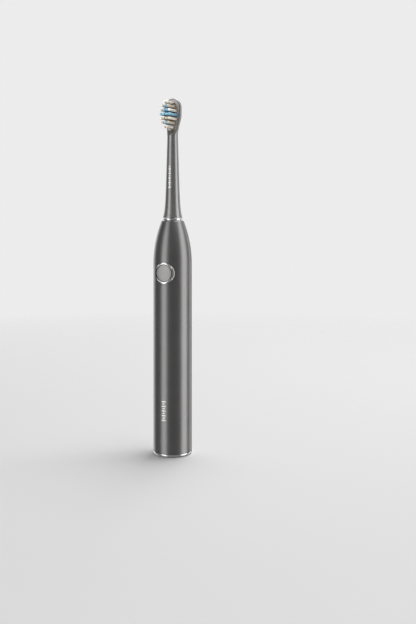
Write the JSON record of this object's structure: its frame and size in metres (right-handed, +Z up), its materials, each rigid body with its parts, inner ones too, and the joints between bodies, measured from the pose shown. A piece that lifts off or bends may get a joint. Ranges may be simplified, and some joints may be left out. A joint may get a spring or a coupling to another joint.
{
  "type": "electric toothbrush",
  "caption": "Slim electric toothbrush: round metal handle with a button, sonic drive, charging socket behind a cover, and pull-off bristle head.",
  "frame": {"origin": "centre of the flat base face the brush stands on", "axes": "+Z up along the handle to the bristle head, -Y the front with button and bristles, +Y the back with the charging socket"},
  "size_m": [0.027, 0.0272, 0.25],
  "materials": {
    "gunmetal": "satin",
    "bright_trim": "polished",
    "base_plastic": "matte",
    "button_face": "satin",
    "seal_rubber": "matte",
    "cover_rubber": "matte",
    "frame_plastic": "satin",
    "board_green": "satin",
    "chip_black": "matte",
    "steel": "satin",
    "magnet": "satin",
    "copper": "satin",
    "flex_film": "satin",
    "bearing_bronze": "satin",
    "cell_wrap": "satin",
    "nickel": "satin",
    "head_plastic": "satin",
    "core_plastic": "satin",
    "bristle_white": "satin",
    "bristle_cream": "satin",
    "bristle_blue": "satin",
    "wire_red": "satin",
    "wire_black": "satin"
  },
  "bodies": {
    "handle": {"base_cap": "base_plastic", "base_ring": "bright_trim", "base_seal": "seal_rubber", "battery_cell": "cell_wrap", "battery_tab_negative": "nickel", "battery_tab_positive": "nickel", "board_screw_lower": "steel", "board_screw_upper": "steel", "button_bezel": "bright_trim", "button_seal": "seal_rubber", "charger_chip": "chip_black", "coil_lower": "copper", "coil_upper": "copper", "control_board": "board_green", "controller_chip": "chip_black", "damper_ring": "seal_rubber", "front_bearing": "bearing_bronze", "handle_sleeve": "gunmetal", "inner_frame": "frame_plastic", "motor_can": "steel", "motor_driver_chip": "chip_black", "motor_end_cap": "base_plastic", "motor_lead_black": "wire_black", "motor_lead_red": "wire_red", "neck_ring": "bright_trim", "nose_bulkhead": "base_plastic", "nose_seal": "seal_rubber", "port_moulding": "base_plastic", "rear_bearing": "bearing_bronze", "shaft_boot": "seal_rubber", "tact_switch": "chip_black", "usb_board": "board_green", "usb_flex": "flex_film", "usb_shell": "steel", "usb_tongue": "chip_black"},
    "button": {"button_cap": "button_face"},
    "drive": {"drive_shaft": "steel", "rotor_core": "steel", "magnet_left": "magnet", "magnet_right": "magnet"},
    "brush_head": {"head_body": "head_plastic", "head_core": "core_plastic", "grip_clip": "steel", "tuft_row_1": "bristle_white", "tuft_row_2": "bristle_cream", "tuft_row_3": "bristle_white", "tuft_row_4": "bristle_blue", "tuft_row_5": "bristle_white", "tuft_row_6": "bristle_cream", "tuft_row_7": "bristle_white"},
    "port_cover": {"port_cover": "cover_rubber"}
  },
  "joints": [
    {"name": "button_press", "type": "slide", "parent": "handle", "child": "button", "axis": [0, 1, 0], "range_m": [0, 0.0005], "stiffness_N_per_m": 600, "springref_m": -0.0005},
    {"name": "drive_turn", "type": "hinge", "parent": "handle", "child": "drive", "pos_m": [0, 0, 0.1456], "axis": [0, 0, 1], "range_deg": [-5, 5], "stiffness_Nm_per_rad": 0.05},
    {"name": "head_pull", "type": "slide", "parent": "drive", "child": "brush_head", "axis": [0, 0, 1], "range_m": [0, 0.03]},
    {"name": "cover_swing", "type": "hinge", "parent": "handle", "child": "port_cover", "pos_m": [0, 0.013, 0.0127], "axis": [-1, 0, 0], "range_deg": [0, 100], "stiffness_Nm_per_rad": 0.001}
  ]
}
